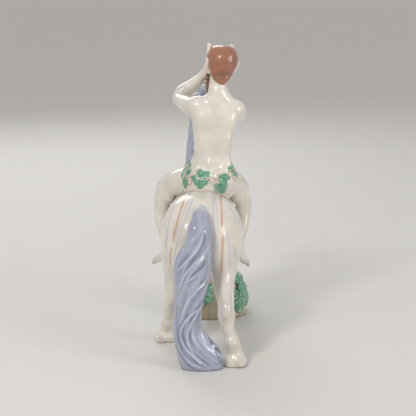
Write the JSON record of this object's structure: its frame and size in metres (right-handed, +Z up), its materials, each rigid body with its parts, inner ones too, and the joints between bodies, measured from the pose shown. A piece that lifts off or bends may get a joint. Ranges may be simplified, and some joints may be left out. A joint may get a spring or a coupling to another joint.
{
  "type": "porcelain figurine",
  "caption": "Glazed porcelain group of a young faun playing pan pipes astride a prancing horse on a leafy stump, free-standing.",
  "frame": {"origin": "on the table, under the middle of the group", "axes": "+Z up, the horse faces -Y, +X is the horse's and the rider's left"},
  "size_m": [0.1434, 0.3277, 0.4004],
  "materials": {
    "white_porcelain": "glossy clear-glazed warm white porcelain",
    "lavender_glaze": "glossy glazed, painted lavender grey with paler ridges",
    "brown_glaze": "glossy glazed, painted chestnut brown",
    "green_glaze": "glossy glazed, painted leaf green",
    "gold_glaze": "glossy glazed, painted straw gold"
  },
  "bodies": {
    "root": {"garland_berries": "gold_glaze", "garland_leaves": "green_glaze", "garland_vine": "green_glaze", "horse_body": "white_porcelain", "horse_forelock": "lavender_glaze", "horse_head": "white_porcelain", "horse_left_ear": "white_porcelain", "horse_left_foreleg": "white_porcelain", "horse_left_hind_leg": "white_porcelain", "horse_mane": "lavender_glaze", "horse_neck": "white_porcelain", "horse_right_ear": "white_porcelain", "horse_right_foreleg": "white_porcelain", "horse_right_hind_leg": "white_porcelain", "horse_tail": "lavender_glaze", "pan_pipes": "gold_glaze", "rider_hair": "brown_glaze", "rider_head": "white_porcelain", "rider_left_arm": "white_porcelain", "rider_left_ear": "white_porcelain", "rider_left_foot": "white_porcelain", "rider_left_hand": "white_porcelain", "rider_left_horn": "white_porcelain", "rider_left_leg": "white_porcelain", "rider_right_arm": "white_porcelain", "rider_right_ear": "white_porcelain", "rider_right_foot": "white_porcelain", "rider_right_hand": "white_porcelain", "rider_right_horn": "white_porcelain", "rider_right_leg": "white_porcelain", "rider_torso": "white_porcelain", "stump": "white_porcelain", "stump_leaves": "green_glaze"}
  },
  "joints": []
}
